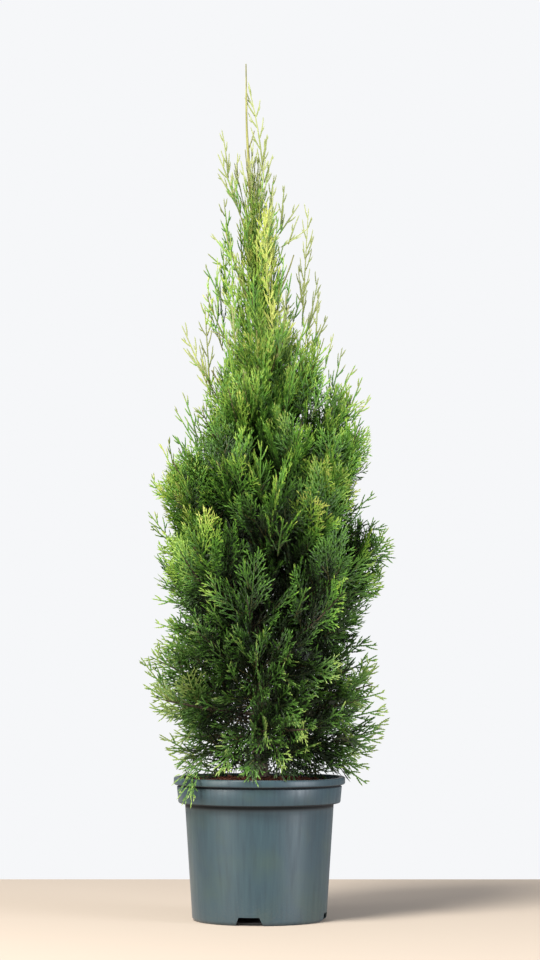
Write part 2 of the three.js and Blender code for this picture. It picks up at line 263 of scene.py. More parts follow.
# %% [markdown]
# Water leaves through four trapezoid notches where wall meets floor. Four wedge-shaped blocks are
# taken out of the wall with a Boolean modifier, which is then applied, so that the finished piece
# is plain mesh. The upper part of the pot then sags and sways by up to a millimetre or so.

# %% Drain notches and the wavy lip
DRAIN = {"count": 4, "turn": -98.6, "top": 31, "foot": 41.5, "height": 12.4, "inset": 14}
LIP_WAVE = {"from": 150, "over": 66, "sway": 0.5, "sag": 0.9, "squeeze": 0.004}


def drain_cutters():
    bm = bmesh.new()
    for index in range(DRAIN["count"]):
        block = bmesh.ops.create_cube(bm, size=1.0)["verts"]
        for v in block:
            low = v.co.z < 0
            half = (DRAIN["foot"] * 1.04 if low else DRAIN["top"]) / 2
            v.co = Vector((v.co.x * 2 * DRAIN["inset"] + POT["body_foot"],
                           half * (1 if v.co.y > 0 else -1),
                           -1.0 if low else DRAIN["height"])) * MM
        turn = math.radians(DRAIN["turn"] + index * 360 / DRAIN["count"])
        bmesh.ops.rotate(bm, verts=block, cent=(0, 0, 0), matrix=Matrix.Rotation(turn, 3, "Z"))
    bmesh.ops.recalc_face_normals(bm, faces=bm.faces[:])
    return object_of("drain_cutters", bm)


def applied(piece):
    """Turn a piece's modifiers into plain mesh."""
    evaluated = piece.evaluated_get(bpy.context.evaluated_depsgraph_get())
    mesh = bpy.data.meshes.new_from_object(evaluated)
    piece.modifiers.clear()
    piece.data = mesh
    return mesh


cutters = drain_cutters()
cut = pot.modifiers.new("notches", "BOOLEAN")
cut.object, cut.operation, cut.solver = cutters, "DIFFERENCE", "EXACT"
pot_mesh = applied(pot)
bpy.data.objects.remove(cutters)
for v in pot_mesh.vertices:
    turn = math.atan2(v.co.y, v.co.x)
    share = max(0.0, (v.co.z / MM - LIP_WAVE["from"]) / LIP_WAVE["over"]) ** 2
    v.co.z += share * MM * (LIP_WAVE["sway"] * math.sin(3 * turn + 0.6) - LIP_WAVE["sag"])
    v.co.xy *= 1 - LIP_WAVE["squeeze"] * share * (1 + math.sin(2 * turn + 1.1)) / 2
pot_mesh.shade_smooth()
pot_mesh.set_sharp_from_angle(angle=math.radians(32))
print("cut pot faces", len(pot_mesh.polygons))

# %% [markdown]
# Moulded polypropylene is a soft, waxy plastic with a satin skin. Outdoors it picks up a film of
# dust and algae that rain draws down into faint upright streaks, and soil splashes stay at its
# foot.
# The streaks are a noise stretched up the pot, and the dust is a second noise that is let through
# near the foot. Object coordinates keep both in place. Shade is painted into the colour as well:
# under the band, under the lip and on the pot's floor.

# %% Moulded polypropylene
pot_material, tree, shader = new_material(
    "moulded polypropylene, weathered, painted shade", {
        "IOR": 1.49, "Specular IOR Level": 0.45, "Sheen Weight": 0.12, "Sheen Roughness": 0.45,
        "Sheen Tint": linear("#e6e2e8")})
place = add(tree, "TexCoord").outputs["Object"]
height = add(tree, "SeparateXYZ", inputs={"Vector": place}).outputs["Z"]

stretched = add(tree, "Mapping", inputs={"Vector": place, "Scale": (1, 1, 0.035)})
streaks = add(tree, "TexNoise", inputs={
    "Vector": stretched.outputs["Vector"], "Scale": 1 / (7 * MM), "Detail": 4,
    "Roughness": 0.6}).outputs["Fac"]
plastic = add(tree, "ValToRGB", inputs={"Fac": streaks}, stops=[
    (0.3, "#293c45"), (0.5, "#2f444d"), (0.62, "#32474f"), (0.75, "#374d56")])

# Patches of algae, a hand's width across, turn the plastic greener.
patches = add(tree, "TexNoise", inputs={"Vector": place, "Scale": 1 / (60 * MM), "Detail": 3})
green = add(tree, "MapRange", inputs={
    "Value": patches.outputs["Fac"], "From Min": 0.48, "From Max": 0.7, "To Min": 0,
    "To Max": 0.35})
tinted = add(tree, "Mix", {"data_type": "RGBA"}, {
    0: green.outputs["Result"], 6: plastic.outputs["Color"], 7: linear("#3f5043")})

# Dust: crumbs of 2 mm, thick in the lowest 50 mm and thin above.
crumbs = add(tree, "TexNoise", inputs={
    "Vector": place, "Scale": 1 / (2.2 * MM), "Detail": 5, "Roughness": 0.7}).outputs["Fac"]
bareness = add(tree, "MapRange", inputs={
    "Value": height, "From Min": 0, "From Max": 50 * MM, "To Min": 0.42, "To Max": 0.60})
cover = add(tree, "Math", {"operation": "SUBTRACT"}, {0: crumbs, 1: bareness.outputs["Result"]})
dust = add(tree, "MapRange", inputs={
    "Value": cover.outputs["Value"], "From Min": 0, "From Max": 0.12, "To Min": 0,
    "To Max": 0.12})
dusty = add(tree, "Mix", {"data_type": "RGBA"}, {
    0: dust.outputs["Result"], 6: tinted.outputs[2], 7: linear("#6b6459")})


def between_levels(start, full, end):
    """1 from the level full up to the level end, fading in from the level start, in millimetres."""
    rising = add(tree, "MapRange", inputs={
        "Value": height, "From Min": start * MM, "From Max": full * MM})
    ending = add(tree, "MapRange", inputs={
        "Value": height, "From Min": end * MM, "From Max": (end + 0.8) * MM, "To Min": 1,
        "To Max": 0})
    return add(tree, "Math", {"operation": "MULTIPLY"}, {
        0: rising.outputs["Result"], 1: ending.outputs["Result"]}).outputs["Value"]


# Painted shade: a soft darkening and a dark line under the band, where it overhangs the
# body, a dark line under the lip, and dark on the pot's floor within 95 mm of the axis, inside and
# under, which shows through the notches.
INSIDE = {"all": 95, "none": 97}  # distances from the axis

band_shade = between_levels(band_foot_level - 30, band_foot_level - 4, band_foot_level + 0.6)
# Painted shadow lines: dark under the band's edge and under the lip.
band_line = between_levels(band_foot_level - 9, band_foot_level - 4, band_foot_level + 1.0)
lip_line = between_levels(lip_foot_level - 3.6, lip_foot_level - 2.8, lip_foot_level + 0.2)
# Painted shade on the pot's floor: dark within 95 mm of the axis, fading out by 97 mm.
flat_place = add(tree, "VectorMath", {"operation": "MULTIPLY"}, {0: place, 1: (1, 1, 0)})
radius = add(tree, "VectorMath", {"operation": "LENGTH"}, {0: flat_place.outputs["Vector"]})
inside = add(tree, "MapRange", inputs={
    "Value": radius.outputs["Value"], "From Min": INSIDE["all"] * MM,
    "From Max": INSIDE["none"] * MM, "To Min": 1, "To Max": 0}).outputs["Result"]
colour = dusty.outputs[2]
# Each painted shade mixes its dark colour into the plastic's colour, by its mask and strength.
for where, strength, shade_colour in ((band_shade, 0.3, "#2a3133"), (inside, 0.9, "#120f0c"),
                              (band_line, 0.95, "#0a0c0d"), (lip_line, 0.92, "#0a0c0d")):
    amount = add(tree, "Math", {"operation": "MULTIPLY"}, {0: where, 1: strength})
    colour = add(tree, "Mix", {"data_type": "RGBA"}, {
        0: amount.outputs["Value"], 6: colour, 7: linear(shade_colour)}).outputs[2]
tree.links.new(colour, shader.inputs["Base Color"])
gloss = add(tree, "MapRange", inputs={
    "Value": streaks, "From Min": 0.3, "From Max": 0.7, "To Min": 0.5, "To Max": 0.36})
# The painted shadow lines are also made rough, so that they show no gloss.
lines = add(tree, "Math", {"operation": "MAXIMUM"}, {0: band_line, 1: lip_line})
rough = add(tree, "Math", {"operation": "MAXIMUM"}, {
    0: gloss.outputs["Result"], 1: lines.outputs["Value"]})
tree.links.new(rough.outputs["Value"], shader.inputs["Roughness"])
skin = add(tree, "Bump", inputs={"Height": crumbs, "Strength": 0.12, "Distance": 0.3 * MM})
tree.links.new(skin.outputs["Normal"], shader.inputs["Normal"])
pot_mesh.materials.clear()
pot_mesh.materials.append(pot_material)

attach(pot, "root")
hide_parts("pot")
print("pot dressed")

# %% [markdown]
# ## The potting mix
#
# The pot is filled with peat and composted bark to a finger's width below the lip, mounded a little
# at the stem. The filling is a spun solid whose upper side is roughened with noise, and loose chips
# of red-brown bark lie on it. A chip is a small block with its corners pushed about at random. They
# are written straight into one mesh, which is far lighter than a thousand objects.

# %% The filling
# The filling has settled away from the drain notches, which look into the dark.
MIX = {"edge": 204, "crown": 212.5, "crown_radius": 34, "gap": 0.4, "foot": 22}


def mix_level(radius):
    """Height of the filling at a distance from the axis, in millimetres."""
    edge = POT["band_top"] - POT["wall"]
    share = np.clip((edge - radius) / (edge - MIX["crown_radius"]), 0, 1)
    return MIX["edge"] + (MIX["crown"] - MIX["edge"]) * share ** 0.8


rim = POT["band_top"] - POT["wall"] - 1.9 - MIX["gap"]
mix_section = [(0, MIX["foot"]), (POT["body_foot"] - 1.4, MIX["foot"]),
               (POT["body_top"] - 2.6, band_foot_level), (rim - 1.8, band_foot_level + 3)]
mix_section += [(radius, float(mix_level(radius))) for radius in np.linspace(rim, 0, 42)]
bm = spun(mix_section, 120)
for v in bm.verts:
    radius = v.co.xy.length / MM
    if v.co.z / MM > band_foot_level + 5 and radius < rim - 0.5:
        v.co.z += MM * (2.2 * noise.noise(v.co * 90) + 1.1 * noise.noise(v.co * 260))
mix = object_of("peat_filling", bm)
print("filling faces", len(mix.data.polygons))

# %% Bark chips
def mesh_of(name, points, triangles):
    """A mesh from arrays: points in millimetres, and triangles as rows of three point numbers."""
    mesh = bpy.data.meshes.new(name)
    mesh.vertices.add(len(points))
    mesh.vertices.foreach_set("co", (np.asarray(points) * MM).ravel())
    mesh.loops.add(triangles.size)
    mesh.loops.foreach_set("vertex_index", triangles.ravel())
    mesh.polygons.add(len(triangles))
    mesh.polygons.foreach_set("loop_start", np.arange(0, triangles.size, 3))
    mesh.update(calc_edges=True)
    mesh.validate()
    return mesh


CUBE_CORNERS = np.array([[x, y, z] for x in (-1, 1) for y in (-1, 1) for z in (-1, 1)], float) / 2
CUBE_FACES = np.array([[0, 1, 3], [0, 3, 2], [4, 6, 7], [4, 7, 5], [0, 4, 5], [0, 5, 1],
                       [2, 3, 7], [2, 7, 6], [0, 2, 6], [0, 6, 4], [1, 5, 7], [1, 7, 3]])


def bark_chips(count, seed):
    """Chips up to 15 mm long, 7 mm wide and 2.2 mm thick, strewn on the filling."""
    rng = np.random.default_rng(seed)
    radius = (rim - 6) * np.sqrt(rng.uniform(0.02, 1, count))
    turn = rng.uniform(0, 2 * math.pi, count)
    size = np.stack([rng.uniform(4, 15, count), rng.uniform(2.5, 7, count),
                     rng.uniform(0.8, 2.2, count)], axis=1)
    corners = CUBE_CORNERS[None] * size[:, None] * rng.uniform(0.6, 1.25, (count, 8, 1))
    spin, tip = rng.uniform(0, 2 * math.pi, count), rng.normal(0, 0.25, count)
    cos, sin = np.cos(spin)[:, None], np.sin(spin)[:, None]
    x, y, z = corners[..., 0], corners[..., 1], corners[..., 2] + corners[..., 0] * tip[:, None]
    points = np.stack([x * cos - y * sin, x * sin + y * cos, z], axis=2)
    points[..., 0] += (radius * np.cos(turn))[:, None]
    points[..., 1] += (radius * np.sin(turn))[:, None]
    points[..., 2] += (mix_level(radius) + 0.8)[:, None]
    triangles = CUBE_FACES[None] + 8 * np.arange(count)[:, None, None]
    return mesh_of("bark_chips", points.reshape(-1, 3), triangles.reshape(-1, 3))


chips = new_object("bark_chips", bark_chips(1100, 11))
print("chip triangles", len(chips.data.polygons))

# %% [markdown]
# Peat is nearly black when it is damp, and composted bark is red-brown. Both are rough, with no
# shine. A noise as wide as a crumb mixes light and dark grains, and the same noise raises them.

# %% Peat and bark materials
def crumbly(name, grain, stops, depth):
    material, tree, shader = new_material(name, {"Roughness": 0.95, "Specular IOR Level": 0.2})
    place = add(tree, "TexCoord").outputs["Object"]
    grains = add(tree, "TexNoise", inputs={
        "Vector": place, "Scale": 1 / (grain * MM), "Detail": 6, "Roughness": 0.7}).outputs["Fac"]
    colour = add(tree, "ValToRGB", inputs={"Fac": grains}, stops=stops)
    tree.links.new(colour.outputs["Color"], shader.inputs["Base Color"])
    bump = add(tree, "Bump", inputs={"Height": grains, "Strength": 0.6, "Distance": depth * MM})
    tree.links.new(bump.outputs["Normal"], shader.inputs["Normal"])
    return material


mix.data.materials.append(crumbly("damp peat", grain=3.5, depth=1.5, stops=[
    (0.35, "#170e0a"), (0.5, "#33211a"), (0.7, "#5a3d2c")]))
chips.data.materials.append(crumbly("composted bark", grain=9, depth=0.6, stops=[
    (0.35, "#2c1a13"), (0.5, "#512d20"), (0.7, "#7d5341")]))
for piece in (mix, chips):
    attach(piece, "root")
    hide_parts("potting_mix")
print("filling dressed:", [piece.data.materials[0].name for piece in (mix, chips)])

# %% [markdown]
# ## How the plant is laid out
#
# The limbs follow the solid model's rule: each leaves the trunk a golden angle further round than
# the last, rises more steeply the higher it stands, and ends on the crown's outline. The rule needs
# a stream of chances that is the same in any language, so it is written out with 32-bit numbers.

# %% Trunk line, crown outline and the stream of chances
TRUNK_LINE = np.array([
    [190, 0, 0], [420, -2, 3], [740, 4, 5], [985, -4, 2], [1105, -14, 0], [1211, -20, 0],
    [1304, -21, 0]], float)
# The crown's outline: height, reach to the left, reach to the right.
CROWN = np.array([
    [186, 142, 168], [221, 142, 168], [222, 118, 160], [300, 160, 196], [385, 178, 180],
    [450, 152, 170], [560, 165, 205], [650, 168, 166], [720, 154, 174], [800, 118, 162],
    [905, 114, 106], [985, 77, 88], [1092, 46, 86], [1165, 46, 32], [1205, 38, 27], [1262, 9, 15],
    [1292, 5, 6]], float)
# How far the dense foliage stops short of that outline, in the same order.
HELD_BACK = np.array([
    [225, 26, 4], [240, 30, 6], [278, 29, 18], [316, 10, -2], [354, 12, 20], [392, 28, -4],
    [431, 26, 14], [469, 34, 16], [507, 8, 6], [545, 8, 12], [583, 0, 22], [621, 0, 14],
    [659, 6, 0], [698, 36, 0], [736, 38, 16], [774, 38, 26], [812, 38, 24], [850, 62, 22],
    [888, 60, 30], [927, 4, 40], [965, 0, 38], [1003, 4, 38], [1041, 10, 42], [1079, 12, 52],
    [1117, 12, 27]], float)
GOLDEN_ANGLE = 137.508
LIMBS = {"seed": 1000, "count": 30, "low_tip": 242, "high_tip": 1256, "crowding": 0.54,
         "first_azimuth": 20, "jitter": 9, "lowest_root": 222, "reach": 1.0}
LESSER = {"seed": 5000, "count": 46, "low_tip": 226, "high_tip": 960,
          "crowding": 0.85, "first_azimuth": 88, "jitter": 30, "lowest_root": 217, "reach": 0.86}
RISE = {"lowest": -8, "gain": 90, "from": 230, "scale": 500}
ELBOW = {"rise": 0.36, "reach": 0.64}
WHOLE = 0xFFFFFFFF


def chances(seed):
    """A stream of even chances between two values."""
    state = seed & WHOLE

    def chance(low=0.0, high=1.0):
        nonlocal state
        state = (state + 0x6D2B79F5) & WHOLE
        mixed = ((state ^ (state >> 15)) * (state | 1)) & WHOLE
        mixed ^= (mixed + ((mixed ^ (mixed >> 7)) * (mixed | 61))) & WHOLE
        return low + (high - low) * ((mixed ^ (mixed >> 14)) & WHOLE) / 4294967296
    return chance


def trunk_centre(level):
    """The trunk's middle at a height, or at each of an array of heights."""
    x, y = (np.interp(level, TRUNK_LINE[:, 0], TRUNK_LINE[:, column]) for column in (1, 2))
    return np.stack([x, y, level], axis=-1)


def crown_reach(level, azimuth, outline=CROWN):
    """How far the crown reaches from the trunk at a height and a bearing in degrees."""
    left, right = (np.interp(level, outline[:, 0], outline[:, column]) for column in (1, 2))
    rightness = 0.5 + 0.5 * np.cos(np.radians(azimuth))
    return left + (right - left) * rightness


def dense_reach(level, azimuth):
    """How far the foliage is dense. Single shoots stand out between there and the outline."""
    return crown_reach(level, azimuth) - crown_reach(level, azimuth, HELD_BACK)


def swung(one, other, angle):
    """A direction turned from one towards another that is square to it, by radians."""
    return one * math.cos(angle) + other * math.sin(angle)


def outward(azimuth):
    return swung(np.array([1.0, 0, 0]), np.array([0, 1.0, 0]), math.radians(azimuth))


print("crown is widest:", max(CROWN[:, 1] + CROWN[:, 2]), "mm")

# %% Limbs by the golden angle
LIMB_STANDS_OUT = 12
SHORTEST_LIMB = 0.6
UPWARD = np.array([0, 0, 1])


def from_trunk(points):
    """Distances of points from the trunk's middle, and their bearings in degrees."""
    offset = points[..., :2] - trunk_centre(points[..., 2])[..., :2]
    return np.linalg.norm(offset, axis=-1), np.degrees(np.arctan2(offset[..., 1], offset[..., 0]))


def limb_rise(level):
    return RISE["lowest"] + RISE["gain"] * (1 - math.exp(-(level - RISE["from"]) / RISE["scale"]))


def limb_plan(rule, index):
    """Root, elbow and tip of one limb, and its bearing."""
    chance = chances(rule["seed"] + index)
    share = (index + 0.5) / rule["count"]
    climb = rule["crowding"] * share + (1 - rule["crowding"]) * share ** 2
    tip_level = rule["low_tip"] + (rule["high_tip"] - rule["low_tip"]) * climb
    azimuth = (rule["first_azimuth"] + index * GOLDEN_ANGLE
               + chance(-rule["jitter"], rule["jitter"]))
    reach = rule["reach"] * crown_reach(tip_level, azimuth)
    drop = reach * math.tan(math.radians(limb_rise(tip_level)))
    root_level = max(rule["lowest_root"], tip_level - drop)
    out = outward(azimuth)
    elbow_level = root_level + ELBOW["rise"] * (tip_level - root_level)
    elbow = trunk_centre(elbow_level) + ELBOW["reach"] * reach * out
    return {"seed": rule["seed"] + index, "across": np.cross(UPWARD, out),
            "marks": (trunk_centre(root_level), elbow, trunk_centre(tip_level) + reach * out)}


def limb_point(limb, share):
    root, elbow, tip = limb["marks"]
    return (1 - share) ** 2 * root + 2 * share * (1 - share) * elbow + share ** 2 * tip


def limb_way(limb, share):
    root, elbow, tip = limb["marks"]
    way = 2 * (1 - share) * (elbow - root) + 2 * share * (tip - elbow)
    return way / np.linalg.norm(way)


def limb_length(limb):
    points = np.array([limb_point(limb, share) for share in np.linspace(0, 1, 17)])
    return np.linalg.norm(np.diff(points, axis=0), axis=1).sum()


def limb_end(limb):
    """The share of a limb's line at which it comes out of the dense foliage."""
    for share in np.arange(1.0, SHORTEST_LIMB, -0.02):
        point = limb_point(limb, share)
        away, bearing = from_trunk(point)
        if away < dense_reach(point[2], bearing) + LIMB_STANDS_OUT:
            return share
    return SHORTEST_LIMB


limbs = [limb_plan(LIMBS, index) for index in range(LIMBS["count"])]
lesser_limbs = [limb_plan(LESSER, index) for index in range(LESSER["count"])]
print("limb lengths, mm:", [round(limb_length(limb)) for limb in limbs])

# %% [markdown]
# ## Trunk and boughs
#
# Young thuja bark is thin and stringy: it splits into long upright fibres. A limb starts as a stick
# spun from a straight section. Each of its rings is then carried to its place on the limb's line,
# and its points are moved in and out by a noise that is stretched along the limb. That gives the
# fibres real depth, which shows at the limb's edge too.

# %% Drawing a limb
FIBRE = {"width": 4.0, "stretch": 10.0}


def drawn_limb(points, radii, across, sides, relief):
    """A bmesh of one closed limb through points in millimetres, with radii to match."""
    last = len(points) - 1
    travelled = np.concatenate([[0], np.linalg.norm(np.diff(points, axis=0), axis=1).cumsum()])
    bm = spun([(0, 0)] + [(1, i) for i in range(last + 1)] + [(0, last)], sides)
    for v in bm.verts:
        i = round(v.co.z / MM)
        along = Vector(points[min(i + 1, last)] - points[max(i - 1, 0)]).normalized()
        side = (Vector(across) - along * along.dot(Vector(across))).normalized()
        over = along.cross(side)
        turn = math.atan2(v.co.y, v.co.x)
        rounded = v.co.xy.length / MM
        fibre = noise.noise(Vector((
            math.cos(turn) * radii[i] / FIBRE["width"], math.sin(turn) * radii[i] / FIBRE["width"],
            travelled[i] / FIBRE["width"] / FIBRE["stretch"] + 3 * i * 0.01)))
        reach = rounded * radii[i] * (1 + relief * fibre)
        v.co = (Vector(points[i]) + swung(side, over, turn) * reach) * MM
    bmesh.ops.recalc_face_normals(bm, faces=bm.faces[:])
    return bm


def joined(name, parts):
    """One piece from several bmeshes."""
    whole = bmesh.new()
    for part in parts:
        mesh = bpy.data.meshes.new("part")
        part.to_mesh(mesh)
        part.free()
        whole.from_mesh(mesh)
        bpy.data.meshes.remove(mesh)
    piece = object_of(name, whole)
    piece.data.shade_smooth()
    return piece


print("bark fibres are", FIBRE["width"], "mm wide")

# %% The trunk, from its root flare to the leader's tip
TRUNK = {"base": 11, "tip": 0.9, "flare": 7, "flare_from": 213, "flare_height": 16, "cut": 213.3,
         "top": 1306}


def trunk_radius(level):
    """Radius with the root flare, which dies away above the filling."""
    share = (level - TRUNK_LINE[0, 0]) / (TRUNK["top"] - TRUNK_LINE[0, 0])
    above_root = np.maximum(0, level - TRUNK["flare_from"])
    flare = TRUNK["flare"] * np.exp(-above_root / TRUNK["flare_height"])
    return TRUNK["base"] + (TRUNK["tip"] - TRUNK["base"]) * share ** 0.85 + flare


levels = np.linspace(TRUNK["cut"] - 4, TRUNK["top"], 274)
trunk_points = np.array([trunk_centre(level) for level in levels])
for _ in range(12):  # ease the corners of the trunk's line
    trunk_points[1:-1] = (trunk_points[:-2] + 2 * trunk_points[1:-1] + trunk_points[2:]) / 4
trunk = joined("trunk_bark", [drawn_limb(
    trunk_points, trunk_radius(levels), (0, 1, 0), sides=20, relief=0.22)])
print("trunk faces", len(trunk.data.polygons), "height", round(trunk.dimensions.z, 3))

# %% Boughs and the stems that carry the sprays
BOUGHS = 24


def limb_radii(limb, shares, thickness):
    root = limb["marks"][0][2]
    thick = max(1.2, thickness * trunk_radius(root + 40))
    return thick + (0.6 - thick) * shares ** 0.8


def drawn_boughs(limbs, thickness):
    for limb in limbs:
        shares = np.linspace(0, limb_end(limb), max(8, int(limb_length(limb) / 5)))
        points = np.array([limb_point(limb, share) for share in shares])
        radii = limb_radii(limb, shares, thickness)
        yield drawn_limb(points, radii, limb["across"], sides=8, relief=0.2)


bough_bark = joined("bough_bark", [
    *drawn_boughs(limbs, thickness=0.42), *drawn_boughs(lesser_limbs, thickness=0.24)])
print("bough faces", len(bough_bark.data.polygons))

# %% [markdown]
# The bark is grey-brown where it is old and olive where it is young, high up. Fibres show as a
# noise stretched along the limb, dark in the clefts and pale on the ridges.

# %% Stringy bark
YOUNG_BARK = [(0.35, "#66653a"), (0.5, "#85854c"), (0.68, "#a3a465")]
YOUNG_WOOD = {"from": 650, "all": 1020}


def stringy_bark(name, stops):
    material, tree, shader = new_material(name, {"Roughness": 0.85, "Specular IOR Level": 0.3})
    place = add(tree, "TexCoord").outputs["Object"]
    stretched = add(tree, "Mapping", inputs={"Vector": place, "Scale": (1, 1, 0.12)})
    fibres = add(tree, "TexNoise", inputs={
        "Vector": stretched.outputs["Vector"], "Scale": 1 / (2.5 * MM), "Detail": 5,
        "Roughness": 0.65}).outputs["Fac"]
    height = add(tree, "SeparateXYZ", inputs={"Vector": place}).outputs["Z"]
    youth = add(tree, "MapRange", inputs={
        "Value": height, "From Min": YOUNG_WOOD["from"] * MM,
        "From Max": YOUNG_WOOD["all"] * MM}).outputs["Result"]
    old, young = (add(tree, "ValToRGB", inputs={"Fac": fibres}, stops=shades).outputs["Color"]
                  for shades in (stops, YOUNG_BARK))
    aged = add(tree, "Mix", {"data_type": "RGBA"}, {0: youth, 6: old, 7: young}).outputs[2]
    tree.links.new(aged, shader.inputs["Base Color"])
    bump = add(tree, "Bump", inputs={"Height": fibres, "Strength": 0.7, "Distance": 0.8 * MM})
    tree.links.new(bump.outputs["Normal"], shader.inputs["Normal"])
    return material


old_bark = stringy_bark(
    "thuja bark, grey-brown", [(0.35, "#221b15"), (0.5, "#3f352b"), (0.68, "#655848")])
trunk.data.materials.append(old_bark)
bough_bark.data.materials.append(old_bark)
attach(trunk, "root")
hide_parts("trunk")
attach(bough_bark, "root")
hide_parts(*[f"bough_{i + 1:02d}" for i in range(BOUGHS)])
print("bark dressed")

# %% [markdown]
# ## Shoots
#
# A spray of thuja is one axis with side shoots to left and right in one plane, each of which
# carries smaller ones in the same way. All of them have the same form, a gently bent line with a
# plane to branch in, so one bundle of arrays holds thousands of them, and no loop over each shoot
# is needed.

# %% A bundle of shoots
FIELDS = ("start", "way", "bend", "side", "length", "wiry", "tone", "width")


def unit(vectors):
    return vectors / np.maximum(np.linalg.norm(vectors, axis=-1, keepdims=True), 1e-9)


class Shoots:
    """Arrays with one row a shoot: start, way, bend (per mm), side (in the plane), and numbers."""

    def __init__(self, *arrays):
        for name, values in zip(FIELDS, arrays):
            setattr(self, name, values)

    def pick(self, rows):
        return Shoots(*[getattr(self, name)[rows] for name in FIELDS])

    def at(self, rows, run):
        """Point, tangent and in-plane side at a run along the shoots in these rows."""
        run = run[:, None]
        point = self.start[rows] + self.way[rows] * run + self.bend[rows] * run ** 2
        tangent = unit(self.way[rows] + 2 * self.bend[rows] * run)
        side = self.side[rows]
        side = unit(side - tangent * np.sum(side * tangent, axis=1, keepdims=True))
        return point, tangent, side


def bundle(*groups):
    return Shoots(*[np.concatenate([getattr(g, name) for g in groups]) for name in FIELDS])


def spaced(length, first, pitch):
    """Row numbers, order numbers and runs for things set every pitch along each length."""
    count = np.maximum(0, np.ceil((length - first) / pitch)).astype(int)
    rows = np.repeat(np.arange(len(length)), count)
    order = np.arange(count.sum()) - np.repeat(np.cumsum(count) - count, count)
    return rows, order, first[rows] + order * pitch[rows]


print("shoots are kept as arrays of", FIELDS)

# %% [markdown]
# Sprays leave the limbs all round, at wide angles near the trunk and narrow ones near the tip, and
# each runs to the end of the dense foliage, or stops short of it by chance. High up they stand
# almost upright, and low down they spread. Round the leader the shoots are wiry: thin, upright and
# far apart. One number from 0 to 1 says how wiry a shoot is, and every rule below reads it.

# %% Rules for one spray
SPRAYS = {"longest": 108, "shortest": 22}
WIRY = {"from": 660, "all": 1070, "longest": 66, "shortest": 13}
# How far apart sprays are set along a limb, by height.
APART = [(230, 13), (450, 10.5), (700, 10), (900, 13), (1070, 26), (1140, 50)]
# How far past the dense foliage a spray runs, and by how much more that varies low down.
OVER = {"least": -36, "most": 0}
OVER_LOW = [(300, 1.35), (450, 1)]
# How much a spray curves upwards, per millimetre.
LIFT = [(215, -0.0014), (330, 0.0002), (500, 0.0012), (1100, 0.0022)]
HIGHEST = 1266
CLEAR_OF_POT = {"beside": 5, "above": 3, "droop": 34}
STRIDE = 3.0


def by_height(table, level):
    """A value read from a table of (height, value), or of (place, value)."""
    return np.interp(level, *zip(*table))


def wiriness(level):
    return np.clip((level - WIRY["from"]) / (WIRY["all"] - WIRY["from"]), 0, 1)


def graded(level, name):
    """A spray size that changes from its leafy value to its wiry one."""
    return SPRAYS[name] + (WIRY[name] - SPRAYS[name]) * wiriness(level)


def inside_crown(point, over):
    away, bearing = from_trunk(point)
    over_pot = math.hypot(point[0], point[1]) < POT["lip"] + CLEAR_OF_POT["beside"]
    lowest = POT["height"] + (CLEAR_OF_POT["above"] if over_pot else -CLEAR_OF_POT["droop"])
    return away < dense_reach(point[2], bearing) + over and lowest < point[2] < HIGHEST


def room(start, way, bend, longest, over):
    run = 2 * STRIDE
    while run < longest and inside_crown(start + way * run + bend * run ** 2, over):
        run += STRIDE
    return run


def spray_row(start, way, chance, longest):
    """One spray: its line, the plane that it branches in, its length, wiriness and extra tone."""
    lift = by_height(LIFT, start[2]) + chance(-0.0008, 0.0008)
    bend = np.array([0, 0, lift]) - way * way[2] * lift
    flat = unit(np.cross(UPWARD, way))
    roll = chance(-1.25, 1.25) + math.pi / 2
    side = swung(flat, np.cross(way, flat), roll)
    wiry = wiriness(start[2])
    over = chance(OVER["least"], OVER["most"]) * by_height(OVER_LOW, start[2])
    length = room(start, way, bend, longest * chance(0.8, 1.1), over)
    return start, way, bend, side, length, wiry, 0.0


print("sprays run up to", SPRAYS["longest"], "mm, and", WIRY["longest"], "mm round the leader")

# %% Sprays on the limbs
# Angle from the limb, in degrees: at its foot, less by so much at its tip, and less if wiry.
SPREAD = {"foot": 66, "less": 40, "wiry": 0.45, "jitter": 12}
# How strongly sprays turn upwards.
PULL = [(215, -0.10), (350, 0.2), (500, 0.55), (700, 1.1), (850, 1.6)]


def sprays_on(limb):
    """Sprays set all round a limb, and the one that goes on from its end."""
    chance = chances(9000 + limb["seed"])
    length = limb_length(limb)
    apart = by_height(APART, limb_point(limb, 0.6)[2]) * 1
    count = max(3, round(length / apart))
    for k in range(count):
        share = 0.12 + (limb_end(limb) - 0.14) * (k + 0.5) / count
        start, stem_way = limb_point(limb, share), limb_way(limb, share)
        over = np.cross(limb["across"], stem_way)
        angle = SPREAD["foot"] - SPREAD["less"] * share
        angle *= 1 - SPREAD["wiry"] * wiriness(start[2])
        angle = math.radians(angle + chance(-SPREAD["jitter"], SPREAD["jitter"]))
        roll = math.radians(k * GOLDEN_ANGLE + chance(-20, 20))
        way = swung(stem_way, swung(over, limb["across"], roll), angle)
        way = unit(way + np.array([0, 0, by_height(PULL, start[2])]))
        yield spray_row(start, way, chance, graded(start[2], "longest"))
    start, way = limb_point(limb, 0.5), limb_way(limb, 0.5)
    bend = (limb_way(limb, 1) - way) / length
    side = unit(np.cross(way, limb["across"]))
    run = length * (limb_end(limb) - 0.5) + chance(-14, 3)
    yield start, way, bend, side, run, wiriness(start[2]), 0.0


rows = [row for limb in limbs + lesser_limbs for row in sprays_on(limb)]
print("sprays on limbs", len(rows))

# %% [markdown]
# The trunk carries sprays of its own between the limbs, closest together in the upper crown. Low
# down a few sprays hang over the lip of the pot.

# %% Sprays on the trunk
TRUNK_SPRAYS = {"from": 224, "to": 1085, "longest": 120}
TRUNK_APART = [(500, 7.5), (950, 4.0), (1060, 8)]
TRUNK_RISE = [(222, 0), (320, 22), (600, 46), (1000, 80)]
